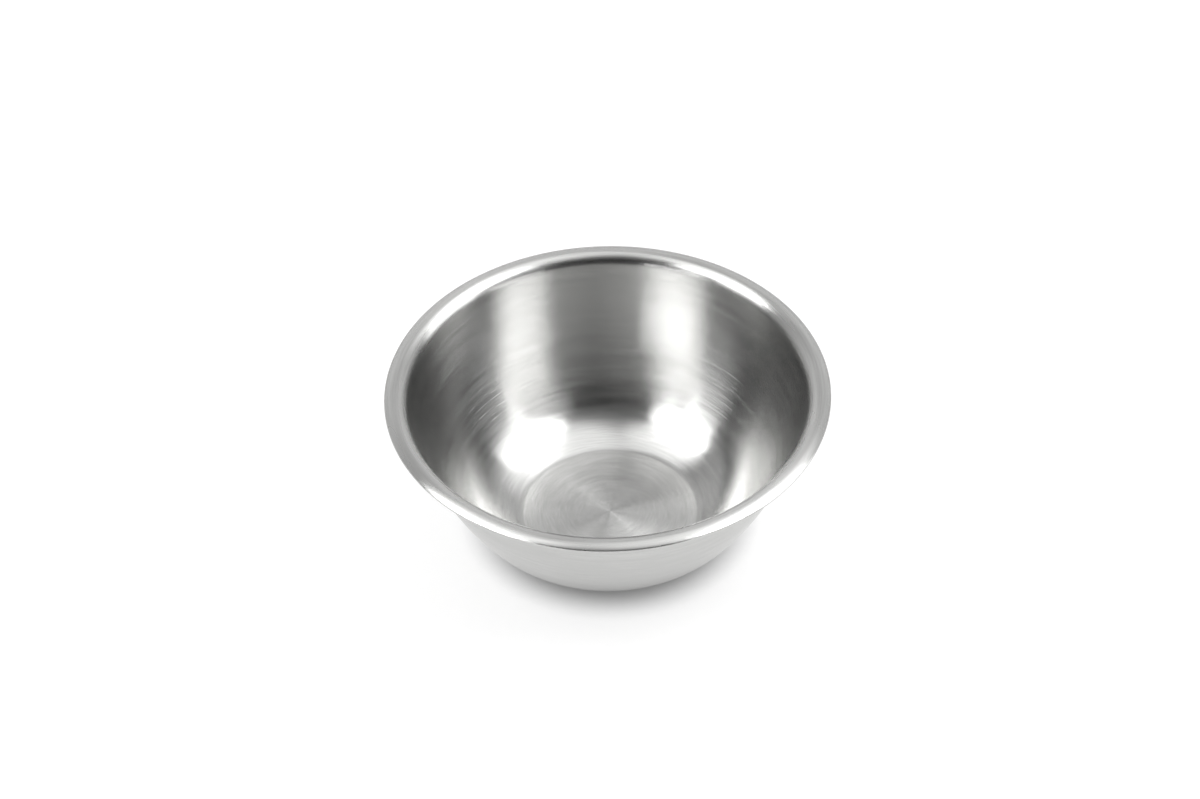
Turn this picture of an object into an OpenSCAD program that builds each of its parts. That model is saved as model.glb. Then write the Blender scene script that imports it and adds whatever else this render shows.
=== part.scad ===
// Prep bowl drawn from one round blank of stainless steel sheet.
// The sheet lies flat in the base, turns up through a wide round into a sloping wall that
// is gently bowed outward, rolls outward over the crown of the rim, falls away to the edge
// and is folded back flat under itself there as a hem.
// The origin is the centre of the base on the surface that the bowl stands on, with +Z up.

/* [Bowl] */
// Diameter across the rim
rim_d = 160; // [140:1:240]
// Height from the base to the crown of the rim
bowl_h = 60; // [45:0.5:90]
// Thickness of the steel sheet
sheet_t = 0.6; // [0.5:0.05:0.8]

/* [Base] */
// Diameter of the flat floor inside
floor_d = 63; // [40:1:80]
// Inside radius of the round between the floor and the wall
corner_r = 26; // [15:0.5:35]
// Angle at which that round leaves the flat floor, which is the crease at the floor's edge
crease_a = 3; // [0:0.5:10]

/* [Wall] */
// Inside radius of the bow of the sloping wall, in its section
wall_r = 130; // [100:5:300]

/* [Rim] */
// Radius of the roll that turns the wall outward, over its top face
roll_r = 4.6; // [3:0.1:8]
// Distance of the crown's highest circle in from the rim's outer edge
crown_inset = 3.8; // [2:0.1:5]
// Radius of the crown on its outer side, over its top face
crown_r = 6.6; // [5.5:0.1:12]
// Share of the crown's outer side that the folded hem lies under
hem_share = 0.8; // [0.4:0.05:0.95]
// Slit left between the hem and the sheet over it
hem_gap = 0.1; // [0.05:0.05:0.3]

/* [Hidden] */
$fn = 180;
// Largest step along an arc of the section, in degrees
arc_step = 3;
right_angle = 90;
half_turn = 180;

// Middle of the round between floor and wall
corner_x = floor_d / 2 - corner_r * sin(crease_a);
corner_z = sheet_t + corner_r * cos(crease_a);

// Middles of the roll and of the crown's outer side, both straight below the highest circle
crown_x = rim_d / 2 - crown_inset;
roll_z = bowl_h - roll_r;
crown_z = bowl_h - crown_r;

// The bowed wall touches the corner's round from without and the roll from the other side,
// so its middle is a known distance from the middle of each
between = [crown_x - corner_x, roll_z - corner_z];
reach = norm(between);
to_corner = wall_r - corner_r;
to_roll = wall_r + roll_r;
along = (pow(reach, 2) + pow(to_corner, 2) - pow(to_roll, 2)) / (2 * reach);
aside = sqrt(pow(to_corner, 2) - pow(along, 2));
wall_x = corner_x + (along * between.x - aside * between.y) / reach;
wall_z = corner_z + (along * between.y + aside * between.x) / reach;
foot_a = atan2(corner_z - wall_z, corner_x - wall_x);
head_a = atan2(roll_z - wall_z, crown_x - wall_x);

// The fold touches the crown from within, and its outermost point is the edge of the rim
fold_r = sheet_t + hem_gap / 2;
fold_x = rim_d / 2 - fold_r;
fold_a = acos((fold_x - crown_x) / (crown_r - fold_r));
fold_z = crown_z + (crown_r - fold_r) * sin(fold_a);
hem_a = fold_a + hem_share * (right_angle - fold_a);

// Points along an arc round [x, z], from one angle to another
function arc(x, z, r, from, to) =
    let (steps = ceil(abs(to - from) / arc_step))
    [for (i = [0:steps]) let (a = from + (to - from) * i / steps) [x + r * cos(a), z + r * sin(a)]];

// Angle at which the corner's round leaves the flat, inside or on the underside
function flat_a(depth) = -asin((corner_z - sheet_t + depth) / (corner_r + depth));

// One face of the sheet, from the edge of the flat to the cut end of the hem.
// depth is how far the face lies behind the bowl's inside and top face.
function face(depth) = concat(
    arc(corner_x, corner_z, corner_r + depth, flat_a(depth), foot_a),
    arc(wall_x, wall_z, wall_r + depth, foot_a, head_a),
    arc(crown_x, roll_z, roll_r - depth, head_a + half_turn, right_angle),
    arc(crown_x, crown_z, crown_r - depth, right_angle, fold_a),
    arc(fold_x, fold_z, fold_r - depth, fold_a, fold_a - half_turn),
    arc(crown_x, crown_z, crown_r - 2 * fold_r + depth, fold_a, hem_a)
);

function reversed(points) = [for (i = [len(points) - 1:-1:0]) points[i]];

// Half of the section through the axis, as distance from the axis and height
module sheet_section() {
    polygon(concat([[0, 0]], face(sheet_t), reversed(face(0)), [[0, sheet_t]]));
}

module bowl() {
    color("silver")
        rotate_extrude()
            sheet_section();
}

bowl();
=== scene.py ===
# %% [markdown]
# Prep bowl in brushed stainless steel
#
# The bowl is one round blank of thin steel sheet. It was pressed and spun to shape, its edge was
# folded back under the rim, and a wheel then brushed it in circles. There is only one piece to model,
# so this lesson is about three things: the section of the sheet, the brushed finish, and the light in
# which a brushed finish can be seen at all.

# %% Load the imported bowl
import bmesh
import bpy
from math import acos, atan2, cos, degrees, pi, radians, sin, sqrt, tan
from mathutils import Matrix, Vector


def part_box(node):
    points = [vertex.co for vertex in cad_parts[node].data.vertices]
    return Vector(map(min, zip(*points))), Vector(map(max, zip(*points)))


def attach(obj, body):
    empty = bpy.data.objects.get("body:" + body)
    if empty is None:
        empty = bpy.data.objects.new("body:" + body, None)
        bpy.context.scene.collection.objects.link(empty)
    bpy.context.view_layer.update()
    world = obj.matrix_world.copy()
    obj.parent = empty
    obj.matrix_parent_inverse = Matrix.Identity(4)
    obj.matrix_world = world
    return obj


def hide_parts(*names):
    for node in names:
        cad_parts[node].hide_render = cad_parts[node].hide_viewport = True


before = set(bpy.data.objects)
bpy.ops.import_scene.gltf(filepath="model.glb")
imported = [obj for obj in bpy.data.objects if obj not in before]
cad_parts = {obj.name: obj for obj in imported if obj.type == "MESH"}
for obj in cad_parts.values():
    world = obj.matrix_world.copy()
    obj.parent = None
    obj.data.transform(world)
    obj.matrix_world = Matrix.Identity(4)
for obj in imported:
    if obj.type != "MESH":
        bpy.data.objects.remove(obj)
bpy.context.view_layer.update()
low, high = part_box("bowl")
print("the packed bowl's box in millimetres:", [round(1000 * (b - a), 2) for a, b in zip(low, high)])

# %% [markdown]
# Sizes of the sheet
#
# A spinner works from the section: half of the bowl as it would look if it were sawn through. Every
# stretch of it is a straight line or an arc, so a few radii say all there is to say. The rim's
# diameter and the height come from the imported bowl. The rest are the sizes that were drawn for it.

# %% Sizes, in metres
mm = 0.001
rim_r = high.x
bowl_h = high.z
sheet_t = 0.6 * mm
floor_r = 31.5 * mm
corner_r = 26 * mm
crease = radians(3)
wall_r = 130 * mm
roll_r = 4.6 * mm
crown_inset = 3.8 * mm
crown_r = 6.6 * mm
hem_share = 0.8
hem_gap = 0.1 * mm

# %% [markdown]
# Where the arcs meet
#
# Neighbouring arcs have to touch without a kink, because a kink would show as a line across every
# reflection. Two arcs touch when the line through their middles also goes through the point where
# they meet. The wall's middle is therefore a known distance from the corner's middle and another from
# the roll's, and the two distances together say where it lies, as two compasses would.

# %% Centres and angles of the section
corner_mid = Vector((floor_r - corner_r * sin(crease), 0, sheet_t + corner_r * cos(crease)))
crown_x = rim_r - crown_inset
roll_mid = Vector((crown_x, 0, bowl_h - roll_r))
crown_mid = Vector((crown_x, 0, bowl_h - crown_r))

between = roll_mid - corner_mid
unit = between.normalized()
to_corner = wall_r - corner_r
to_roll = wall_r + roll_r
along = (between.length_squared + to_corner ** 2 - to_roll ** 2) / (2 * between.length)
aside = sqrt(to_corner ** 2 - along ** 2)
wall_mid = corner_mid + along * unit + aside * Vector((-unit.z, 0, unit.x))


def slope_at(middle):
    """Slope of the wall where the line from its own middle through this one meets it."""
    way = middle - wall_mid
    return atan2(way.x, -way.z)


foot_slope = slope_at(corner_mid)
head_slope = slope_at(roll_mid)
fold_r = sheet_t + hem_gap / 2
fold_x = rim_r - fold_r
fold_a = acos((fold_x - crown_x) / (crown_r - fold_r))
fold_mid = Vector((fold_x, 0, crown_mid.z + (crown_r - fold_r) * sin(fold_a)))
hem_turn = hem_share * (pi / 2 - fold_a)
print("the wall leans out by", round(90 - degrees(foot_slope), 1), "degrees at its foot and",
      round(90 - degrees(head_slope), 1), "under the roll")

# %% [markdown]
# Draw the section
#
# In edit mode one vertex is enough to begin with. Extruding it draws a straight line, and the spin
# operator, which most people know from turning whole profiles, draws a true arc when it is given that
# one vertex. So the section is drawn as it would be with compasses: floor, corner, wall, roll, crown
# and fold. Only the face that shows is drawn. The sheet gets its thickness afterwards.

# %% Helpers for drawing with one vertex
Y_AXIS = (0, 1, 0)
Z_AXIS = (0, 0, 1)


def deselect_everything():
    bpy.ops.object.select_all(action="DESELECT")


def draw_line(length, pieces):
    """Extrudes the selected vertex outwards along the floor, in equal pieces."""
    step = Vector((length, 0, 0)) / pieces
    for _ in range(pieces):
        bpy.ops.mesh.extrude_region_move(TRANSFORM_OT_translate={"value": step})


def draw_arc(middle, turn, pieces):
    """Swings the selected vertex round middle. A positive turn rises from the floor to the wall."""
    bpy.ops.mesh.spin(steps=pieces, angle=turn, center=middle, axis=Y_AXIS)


# %% A plane that is merged to one vertex
deselect_everything()
bpy.ops.mesh.primitive_plane_add(size=sheet_t, location=(0, 0, sheet_t))
bowl = bpy.context.object
bowl.name = "steel_bowl"
bpy.ops.object.transform_apply(location=True, rotation=True, scale=True)
bpy.ops.object.mode_set(mode="EDIT")
bpy.ops.mesh.merge(type="CENTER")

# %% Floor, corner, wall and rim, as one chain of edges
crease_w = 0.5 * mm
first_turn = radians(1)
draw_line(floor_r - crease_w, pieces=10)
draw_line(crease_w, pieces=1)
draw_arc(corner_mid, first_turn, pieces=1)
draw_arc(corner_mid, foot_slope - crease - first_turn, pieces=22)
draw_arc(wall_mid, head_slope - foot_slope, pieces=44)
draw_arc(roll_mid, -head_slope, pieces=16)
draw_arc(crown_mid, fold_a - pi / 2, pieces=12)
draw_arc(fold_mid, -pi, pieces=12)
draw_arc(crown_mid, hem_turn, pieces=8)
bowl.update_from_editmode()
print("the section has", len(bowl.data.vertices), "points and ends at",
      [round(c / mm, 2) for c in bowl.data.vertices[-1].co], "mm")

# %% [markdown]
# Ease the change of bend
#
# Arcs that touch have one slope where they meet, but their bend still jumps from one to the next, and
# a reflection shows that jump as a hard edge. Sheet metal bends more gradually. Some rounds of
# smoothing, on the corner and the wall only, spread the change over a few millimetres and move the
# points by less than half a millimetre.

# %% Smooth the bend between corner and wall
ease_from_r = floor_r + 2 * mm
ease_to_z = 53 * mm
EASE_ROUNDS = 45
before = [vertex.co.copy() for vertex in bowl.data.vertices]
bpy.ops.mesh.select_all(action="DESELECT")
chain = bmesh.from_edit_mesh(bowl.data)
for vertex in chain.verts:
    vertex.select = vertex.co.x > ease_from_r and vertex.co.z < ease_to_z
chain.select_flush_mode()
bpy.ops.mesh.vertices_smooth(factor=0.5, repeat=EASE_ROUNDS)
bowl.update_from_editmode()
moved = max((vertex.co - old).length for vertex, old in zip(bowl.data.vertices, before))
print("smoothing moved the points by up to", round(moved / mm, 2), "mm")

# %% [markdown]
# Spin the bowl
#
# One full spin round the upright axis turns the section into a bowl, just as on the spinner's lathe.
# The first and the last copy lie on each other, and so do all the copies of the middle point, so
# doubles are merged. Then the normals are made to agree, and they have to point up on the floor,
# because the sheet's thickness will go to the other side.

# %% Spin round the upright axis
SEGMENTS = 360
bpy.ops.mesh.select_all(action="SELECT")
bpy.ops.mesh.spin(steps=SEGMENTS, angle=2 * pi, center=(0, 0, 0), axis=Z_AXIS)
bpy.ops.mesh.select_all(action="SELECT")
bpy.ops.mesh.remove_doubles(threshold=0.001 * mm)
bpy.ops.mesh.normals_make_consistent(inside=False)
bpy.ops.object.mode_set(mode="OBJECT")


def floor_faces_up():
    return all(p.normal.z > 0 for p in bowl.data.polygons if p.center.xy.length < floor_r / 2)


if not floor_faces_up():
    bpy.ops.object.mode_set(mode="EDIT")
    bpy.ops.mesh.select_all(action="SELECT")
    bpy.ops.mesh.flip_normals()
    bpy.ops.object.mode_set(mode="OBJECT")
print("faces in the skin:", len(bowl.data.polygons), "floor faces up:", floor_faces_up())

# %% [markdown]
# A sheet is never quite round
#
# A pressed wall keeps a slight waviness, about a tenth of a millimetre, and a mirror shows it at once:
# the edges of the reflections wander. The wave is pushed into the skin here, before it gets its
# thickness. It is a sum of sines that go round 2, 3, 5 and 9 times, and it fades to nothing at the
# floor and at the rim, so the outline stays as it was drawn.

# %% Waviness of the wall
wave_depth = 0.09 * mm
wave_low, wave_high = 4 * mm, 52 * mm
WAVES = ((2, 0.4, 0.5), (3, 2.1, 0.4), (5, 4.0, 0.22), (9, 1.3, 0.10))
for vertex in bowl.data.vertices:
    point = vertex.co
    share = (point.z - wave_low) / (wave_high - wave_low)
    if 0 < share < 1 and point.xy.length < crown_x:
        azimuth = atan2(point.y, point.x)
        wave = sum(size * sin(count * azimuth + start + 2 * share) for count, start, size in WAVES)
        push = wave_depth * wave * sin(pi * share) ** 2
        point.xy = point.xy * (1 - push / point.xy.length)
print("the waves are at most", round(wave_depth * sum(w[2] for w in WAVES) / mm, 2), "mm deep")

# %% [markdown]
# Give the sheet its thickness
#
# Solidify adds the second skin on the side that the normals turn their backs to. With even thickness
# the sheet is as thick in the tight fold as on the flat floor. Shading is smooth across all bends
# that are gentler than the edge of the sheet.

# %% Thickness of the sheet
SHARP_ANGLE = radians(30)
solidify = bowl.modifiers.new("sheet", "SOLIDIFY")
solidify.thickness = sheet_t
solidify.offset = -1
solidify.use_even_offset = True
bpy.ops.object.modifier_apply(modifier=solidify.name)
bpy.ops.object.shade_smooth_by_angle(angle=SHARP_ANGLE)
print("faces in the sheet:", len(bowl.data.polygons), "box in mm:",
      [round(d / mm, 2) for d in bowl.dimensions])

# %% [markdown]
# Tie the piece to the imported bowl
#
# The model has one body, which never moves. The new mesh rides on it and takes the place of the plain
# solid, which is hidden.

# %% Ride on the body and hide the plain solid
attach(bowl, "root")
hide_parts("bowl")

# %% [markdown]
# Helpers for shader nodes
#
# A shader is a chain of small sums. These helpers make one node each and return its output, so a
# chain of nodes reads like a line of arithmetic.

# %% Helpers for nodes


class Chain:
    """Makes nodes in one tree. Every input is either an output of another node or a plain value."""

    def __init__(self, tree):
        self.tree = tree

    def feed(self, socket, value):
        if isinstance(value, bpy.types.NodeSocket):
            self.tree.links.new(value, socket)
        else:
            socket.default_value = value

    def add(self, kind, inputs=(), output=0, **settings):
        node = self.tree.nodes.new(kind)
        for name, setting in settings.items():
            setattr(node, name, setting)
        for key, value in dict(inputs).items():
            self.feed(node.inputs[key], value)
        return node.outputs[output]

    def sum(self, operation, a, b=0.0):
        return self.add("ShaderNodeMath", {0: a, 1: b}, operation=operation)

    def spread(self, value, from_low, from_high, to_low, to_high, kind="LINEAR"):
        """Carries a value from one range to another, and holds it at the ends."""
        ranges = {0: value, 1: from_low, 2: from_high, 3: to_low, 4: to_high}
        return self.add("ShaderNodeMapRange", ranges, interpolation_type=kind)

    def noise(self, vector, scale=1.0, detail=2.0):
        return self.add("ShaderNodeTexNoise", {"Vector": vector, "Scale": scale, "Detail": detail})

    def vector(self, operation, a, b, output=0):
        return self.add("ShaderNodeVectorMath", {0: a, 1: b}, output=output, operation=operation)

    def scaled(self, vector, factor):
        return self.add("ShaderNodeVectorMath", {0: vector, "Scale": factor}, operation="SCALE")

    def length(self, vector):
        return self.add("ShaderNodeVectorMath", {0: vector}, output="Value", operation="LENGTH")


# %% [markdown]
# Brushed steel
#
# A brushed face is covered in fine grooves. Across the grooves light is scattered widely, and along
# them hardly at all, which is what anisotropy means. The grooves run round the bowl's axis, so a
# reflection is drawn out up and down the wall and from the middle of the floor outwards.
#
# The grooves themselves are a noise that is stretched round the axis. Its coordinates are the
# direction from the axis, which closes on itself without a seam, and the distance walked along the
# section.

# %% Coordinates that follow the brush
steel = bpy.data.materials.new("circle_brushed_steel")
steel.use_nodes = True
shader = steel.node_tree.nodes["Principled BSDF"]
s = Chain(steel.node_tree)
place = s.add("ShaderNodeTexCoord", output="Object")
x, y, z = s.add("ShaderNodeSeparateXYZ", {0: place}).node.outputs
level = s.add("ShaderNodeCombineXYZ", {0: x, 1: y})
radius = s.length(level)
around = s.add("ShaderNodeVectorMath", {0: level}, operation="NORMALIZE")
walked = s.sum("ADD", radius, z)


def round_and_across(turns, distance, steps_a_metre):
    """A place for a noise: the direction from the axis, and a distance across the streaks."""
    turned = s.scaled(around, turns)
    across = s.add("ShaderNodeCombineXYZ", {2: s.sum("MULTIPLY", distance, steps_a_metre)})
    return s.vector("ADD", turned, across)


def brushed_noise(turns, lines_a_metre, detail):
    """Noise in streaks that run round the axis. Fewer turns make longer streaks."""
    return s.noise(round_and_across(turns, walked, lines_a_metre), detail=detail)


fine_grain = brushed_noise(turns=4.0, lines_a_metre=1500.0, detail=3.0)
broad_grain = brushed_noise(turns=1.4, lines_a_metre=330.0, detail=2.0)
print("nodes for the brush:", len(steel.node_tree.nodes))

# %% [markdown]
# Marks of use
#
# Here and there a coarser grain of the wheel has cut deeper lines than the rest. They run round the
# axis like the brushing. They come from one more stretched noise, of which only the crests are kept,
# and a patch of them shows only near one place and where a slow noise lets it. Fingers leave soft
# smudges.

# %% Coarse lines and smudges
LINE_CRESTS = (0.56, 0.70)
PATCH_EDGE = (4 * mm, 17 * mm)
WORN_AWAY = (0.35, 0.6)


def coarse_lines(lines_a_metre, patch):
    """Coarser brush lines, from 0 to 1, round about the place called patch."""
    line = s.spread(brushed_noise(1.6, lines_a_metre, detail=1.0), *LINE_CRESTS, 0.0, 1.0)
    away = s.vector("DISTANCE", place, patch, output="Value")
    near = s.spread(away, *PATCH_EDGE, 1.0, 0.0, "SMOOTHSTEP")
    worn = s.spread(s.noise(place, scale=90.0, detail=2.0), *WORN_AWAY, 0.1, 1.0)
    return s.sum("MULTIPLY", line, s.sum("MULTIPLY", near, worn))


left_patch = (-45 * mm, 36 * mm, 20 * mm)
right_patch = (42 * mm, 38 * mm, 21 * mm)
coarse = s.sum("MAXIMUM", coarse_lines(2300.0, left_patch), coarse_lines(2500.0, right_patch))
smudge = s.noise(place, scale=26.0, detail=3.0)

# %% [markdown]
# The floor's painted fan and the rim
#
# A brushed disc shows a fan of light and dark that turns about its middle. The anisotropy gives the
# main part of it. The finer wedges are a painted reflection: a noise that changes with the direction
# from the axis lightens the floor's colour in wedges, and so paints the whole floor lighter too.
# The fan belongs to the upper side of the floor alone, so one mask is its radius and another its
# height. On the rim the wheel has pressed less evenly, and a mask by height makes it a little duller.

# %% Masks for the floor and the rim, and the noise for the painted fan
FLOOR_EDGE = (floor_r - 0.2 * mm, floor_r + 0.6 * mm)
SHEET_MIDDLE = (0.3 * mm, 0.5 * mm)
RIM_EDGE = (bowl_h - 5.5 * mm, bowl_h - 2.5 * mm)
on_floor = s.spread(radius, *FLOOR_EDGE, 1.0, 0.0, "SMOOTHSTEP")
inside = s.spread(z, *SHEET_MIDDLE, 0.0, 1.0)
on_floor = s.sum("MULTIPLY", on_floor, inside)
fan = s.noise(round_and_across(turns=1.7, distance=radius, steps_a_metre=30.0), detail=1.0)
on_rim = s.spread(z, *RIM_EDGE, 0.0, 1.0, "SMOOTHSTEP")
print("nodes with the marks:", len(steel.node_tree.nodes))

# %% [markdown]
# Colour of the steel
#
# Bare steel has one colour, so the marks change it only a little: lighter where the metal is cut
# deeper and shines, darker where something lies in the grain. On the floor a painted reflection, the
# fan's lighter wedges, is added to the colour as well. A noise seldom leaves its middle values, so the
# range that it does fill is carried over to the range that the colour is to have.

# %% Colour
NOISE_SPAN = (0.3, 0.7)
SLOW_SPAN = (0.35, 0.65)
fine_tone, broad_tone, smudge_tone, coarse_tone = 0.03, 0.015, 0.012, 0.05
# Painted reflection: the floor's colour is lifted by these amounts in the fan's darker and lighter
# wedges.
painted_fan_low, painted_fan_high = 0.05, 0.13
steel_grey = 0.54
blue_share = 0.985


def swing(noise, span, size):
    """Carries a noise over to a swing from -size to size."""
    return s.spread(noise, *span, -size, size)


shade = s.sum("ADD", swing(fine_grain, NOISE_SPAN, fine_tone), swing(broad_grain, NOISE_SPAN, broad_tone))
shade = s.sum("ADD", shade, swing(smudge, SLOW_SPAN, smudge_tone))
# Painted reflection on the floor: wedges of lighter colour that copy the fan of light on a brushed disc.
painted_fan_reflection = s.spread(fan, *NOISE_SPAN, painted_fan_low, painted_fan_high)
shade = s.sum("ADD", shade, s.sum("MULTIPLY", on_floor, painted_fan_reflection))
shade = s.sum("ADD", shade, s.sum("MULTIPLY", coarse, coarse_tone))
shade = s.sum("ADD", shade, steel_grey)
colour = s.add("ShaderNodeCombineColor", {0: shade, 1: shade, 2: s.sum("MULTIPLY", shade, blue_share)})
s.feed(shader.inputs["Base Color"], colour)

# %% [markdown]
# Roughness and grooves
#
# Roughness changes more than colour does, with the broad grain, the smudges, the coarse lines and the
# rim. The tangent goes round the axis and says which way the brush went. The bump gives each groove a
# side that catches the light, and the coarse lines are cut into it.

# %% Roughness, brushing direction and bump
rough_low, rough_high = 0.205, 0.245
smudge_rough, coarse_rough, rim_rough = 0.015, 0.07, 0.04
coarse_height = -0.3
groove_depth = 0.005 * mm

rough = s.sum("ADD", s.spread(broad_grain, *NOISE_SPAN, rough_low, rough_high),
              swing(smudge, SLOW_SPAN, smudge_rough))
rough = s.sum("ADD", rough, s.sum("MULTIPLY", coarse, coarse_rough))
rough = s.sum("ADD", rough, s.sum("MULTIPLY", on_rim, rim_rough))
s.feed(shader.inputs["Roughness"], rough)

shader.inputs["Metallic"].default_value = 1
shader.inputs["Anisotropic"].default_value = 0.9
shader.inputs["Anisotropic Rotation"].default_value = 0.25
s.feed(shader.inputs["Tangent"], s.add("ShaderNodeTangent", direction_type="RADIAL", axis="Z"))
height = s.sum("ADD", fine_grain, s.sum("MULTIPLY", coarse, coarse_height))
grooves = s.add("ShaderNodeBump", {"Strength": 0.3, "Distance": groove_depth, "Height": height})
s.feed(shader.inputs["Normal"], grooves)
bowl.data.materials.clear()
bowl.data.materials.append(steel)
print("nodes in the finished steel:", len(steel.node_tree.nodes))

# %% [markdown]
# The table
#
# The bowl stands on a plain table that is whiter than paint gets under these lamps. So the paint is
# grey, which keeps the lamps' own patches on it faint, and a glow brings it up to white. Round the
# bowl's foot the glow is dim, where the bowl keeps the room's light off the table, and this makes the
# soft shadow. Far out it grows again, so that the table meets the white background without an edge.

# %% Table with its paint
TABLE_SIZE = 12
deselect_everything()
bpy.ops.mesh.primitive_plane_add(size=TABLE_SIZE, location=(0, 0, 0))
table = bpy.context.object
table.name = "table"
white = bpy.data.materials.new("white_table")
white.use_nodes = True
paint = white.node_tree.nodes["Principled BSDF"]
w = Chain(white.node_tree)
spot = w.add("ShaderNodeTexCoord", output="Object")
speckle = w.noise(spot, scale=300.0, detail=3.0)
tone = w.spread(speckle, *NOISE_SPAN, 0.29, 0.31)
w.feed(paint.inputs["Base Color"], w.add("ShaderNodeCombineColor", {0: tone, 1: tone, 2: tone}))
w.feed(paint.inputs["Roughness"], w.spread(speckle, *NOISE_SPAN, 0.8, 0.95))

# %% The table's glow
NEAR = (39 * mm, 57 * mm)
FAR = (150 * mm, 1500 * mm)
glow_at_foot, glow_round_bowl, glow_far_out = 0.14, 0.71, 0.5
paint.inputs["Emission Color"].default_value = (1, 1, 1, 1)
reach = w.length(spot)
near_glow = w.spread(reach, *NEAR, glow_at_foot, glow_round_bowl, "SMOOTHSTEP")
far_glow = w.spread(reach, *FAR, 0.0, glow_far_out)
w.feed(paint.inputs["Emission Strength"], w.sum("ADD", near_glow, far_glow))
table.data.materials.append(white)
print("nodes in the table's paint:", len(white.node_tree.nodes))

# %% [markdown]
# The lamps
#
# Polished or brushed metal shows nothing but its surroundings. Two large softboxes stand to the left
# and the right, high up, and each has a dimmer part below it. Two low strips stand to the left and
# the right of the camera, and reach the parts of the rim and the wall that the softboxes miss.
#
# A softbox is given by what the bowl sees of it: the angles that it fills, and how bright it looks.
# The size and the power of the lamp follow from those.

# %% Softboxes
LAMP_DISTANCE = 2.3


def softbox(name, azimuth, elevation, wide, tall, radiance):
    """An area light that faces the bowl. Azimuth 0 is to the right, 90 is behind. In degrees."""
    data = bpy.data.lights.new(name, "AREA")
    data.shape = "RECTANGLE"
    data.size = 2 * LAMP_DISTANCE * tan(radians(wide / 2))
    data.size_y = 2 * LAMP_DISTANCE * tan(radians(tall / 2))
    data.energy = pi * data.size * data.size_y * radiance
    lamp = bpy.data.objects.new(name, data)
    bpy.context.collection.objects.link(lamp)
    az, el = radians(azimuth), radians(elevation)
    way = Vector((cos(el) * cos(az), cos(el) * sin(az), sin(el)))
    lamp.location = way * LAMP_DISTANCE
    lamp.rotation_euler = way.to_track_quat("Z", "Y").to_euler()
    print(name, "gives", round(data.energy, 1), "watts")


softbox("left_softbox", azimuth=192.4, elevation=51.7, wide=40.2, tall=16.9, radiance=6.4)
softbox("right_softbox", azimuth=2.2, elevation=55.9, wide=37.8, tall=24.6, radiance=5.6)
softbox("left_lower_softbox", azimuth=192.5, elevation=32.0, wide=24.5, tall=22.0, radiance=3.1)
softbox("right_lower_softbox", azimuth=-1.7, elevation=21.5, wide=35.3, tall=41.0, radiance=1.9)
softbox("left_front_strip", azimuth=234.5, elevation=12.8, wide=30.0, tall=7.4, radiance=4.0)
softbox("right_front_strip", azimuth=-42.9, elevation=9.0, wide=29.8, tall=13.0, radiance=1.6)

# %% [markdown]
# The room
#
# The world stands for the room. It is grey behind the bowl, dim overhead and near the ground, and
# black round the camera. The back of the bowl faces the camera, so this black is what draws the dark
# tongue down it, between the two softboxes.

# %% Grey walls and a dim ceiling
world = bpy.data.worlds.new("studio")
bpy.context.scene.world = world
world.use_nodes = True
room = Chain(world.node_tree)
look = room.add("ShaderNodeTexCoord", output="Generated")
look_parts = room.add("ShaderNodeSeparateXYZ", {0: look}).node.outputs
forwards, upwards = look_parts["Y"], look_parts["Z"]
BACK_GREY, CEILING_GREY = 1.14, 0.29
high_share, low_share = 0.5, 0.15

behind = room.spread(forwards, -0.8, 1.5, 0.0, BACK_GREY, "SMOOTHSTEP")
behind = room.sum("MULTIPLY", behind, room.spread(upwards, 0.57, 0.87, 1.0, high_share))
low_wall = room.spread(upwards, 0.06, 0.22, low_share, 1.0, "SMOOTHSTEP")
behind = room.sum("MULTIPLY", behind, low_wall)
overhead = room.spread(upwards, 0.84, 0.90, 0.0, 1.0, "SMOOTHSTEP")
change = room.sum("MULTIPLY", overhead, room.sum("SUBTRACT", CEILING_GREY, behind))
grey = room.sum("ADD", behind, change)

# %% [markdown]
# Soft patches and the white background
#
# Four dim patches stand for light that the softboxes throw on the ceiling and, lower, on things
# beside the camera. A patch is brightest in its middle and fades outwards, and where two overlap the
# brighter one counts. The camera itself sees plain white wherever it looks past the table.

# %% Patches of light


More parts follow.
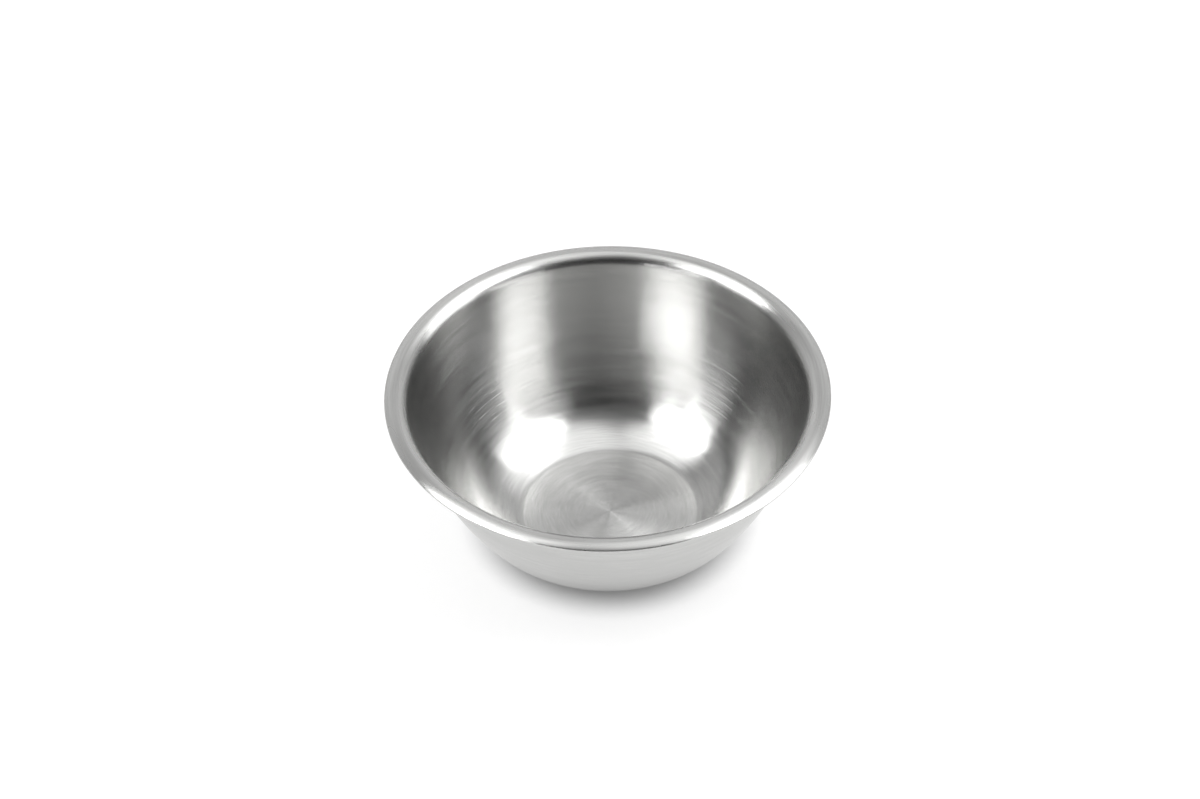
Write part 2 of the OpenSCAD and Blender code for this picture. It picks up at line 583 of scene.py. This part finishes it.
def soft_patch(azimuth, elevation, inner, outer, radiance):
    """A round patch of light that fades from its inner to its outer angle. In degrees."""
    az, el = radians(azimuth), radians(elevation)
    aim = (cos(el) * cos(az), cos(el) * sin(az), sin(el))
    near = room.vector("DOT_PRODUCT", look, aim, output="Value")
    return room.spread(near, cos(radians(outer)), cos(radians(inner)), 0.0, radiance, "SMOOTHSTEP")


for patch in (
    dict(azimuth=161, elevation=68, inner=10, outer=24, radiance=1.9),
    dict(azimuth=31, elevation=67, inner=18, outer=36, radiance=1.6),
    dict(azimuth=317, elevation=38, inner=4, outer=18, radiance=0.6),
    dict(azimuth=221, elevation=37, inner=4, outer=14, radiance=0.7),
):
    grey = room.sum("MAXIMUM", grey, soft_patch(**patch))
grey = room.sum("MAXIMUM", grey, room.add("ShaderNodeLightPath", output="Is Camera Ray"))
room.feed(world.node_tree.nodes["Background"].inputs["Color"],
          room.add("ShaderNodeCombineColor", {0: grey, 1: grey, 2: grey}))
print("nodes in the room:", len(world.node_tree.nodes))

# %% [markdown]
# The camera
#
# A long lens from two metres away, looking down by 43 degrees. From so far, the near and the far
# side of the rim look almost equally large, as they do in the photograph. The camera's own axes are
# worked out from its three turns, so that its place and its aim can be set apart from each other.

# %% Camera
rim_middle = Vector((0, 0, bowl_h))
camera_d = 2145 * mm
camera_el = radians(43.04)
yaw, pitch, roll = radians(-0.10), radians(43.11), radians(-1.24)
FRAME_W = 1200
FOCAL_PX = 6000
SENSOR_MM = 36

lens = bpy.data.cameras.new("camera")
lens.sensor_width = SENSOR_MM
lens.lens = FOCAL_PX * SENSOR_MM / FRAME_W
camera = bpy.data.objects.new("camera", lens)
bpy.context.collection.objects.link(camera)
bpy.context.scene.camera = camera
forward = Vector((sin(yaw) * cos(pitch), cos(yaw) * cos(pitch), -sin(pitch)))
sideways = Vector((cos(yaw), -sin(yaw), 0))
upright = sideways.cross(forward)
right = cos(roll) * sideways + sin(roll) * upright
up = cos(roll) * upright - sin(roll) * sideways
stand = rim_middle + camera_d * Vector((0, -cos(camera_el), sin(camera_el)))
turned = Matrix((right, up, -forward)).transposed().to_4x4()
camera.matrix_world = Matrix.Translation(stand) @ turned
bpy.context.scene.view_settings.view_transform = "Standard"
print("the camera stands at", [round(c, 3) for c in stand])
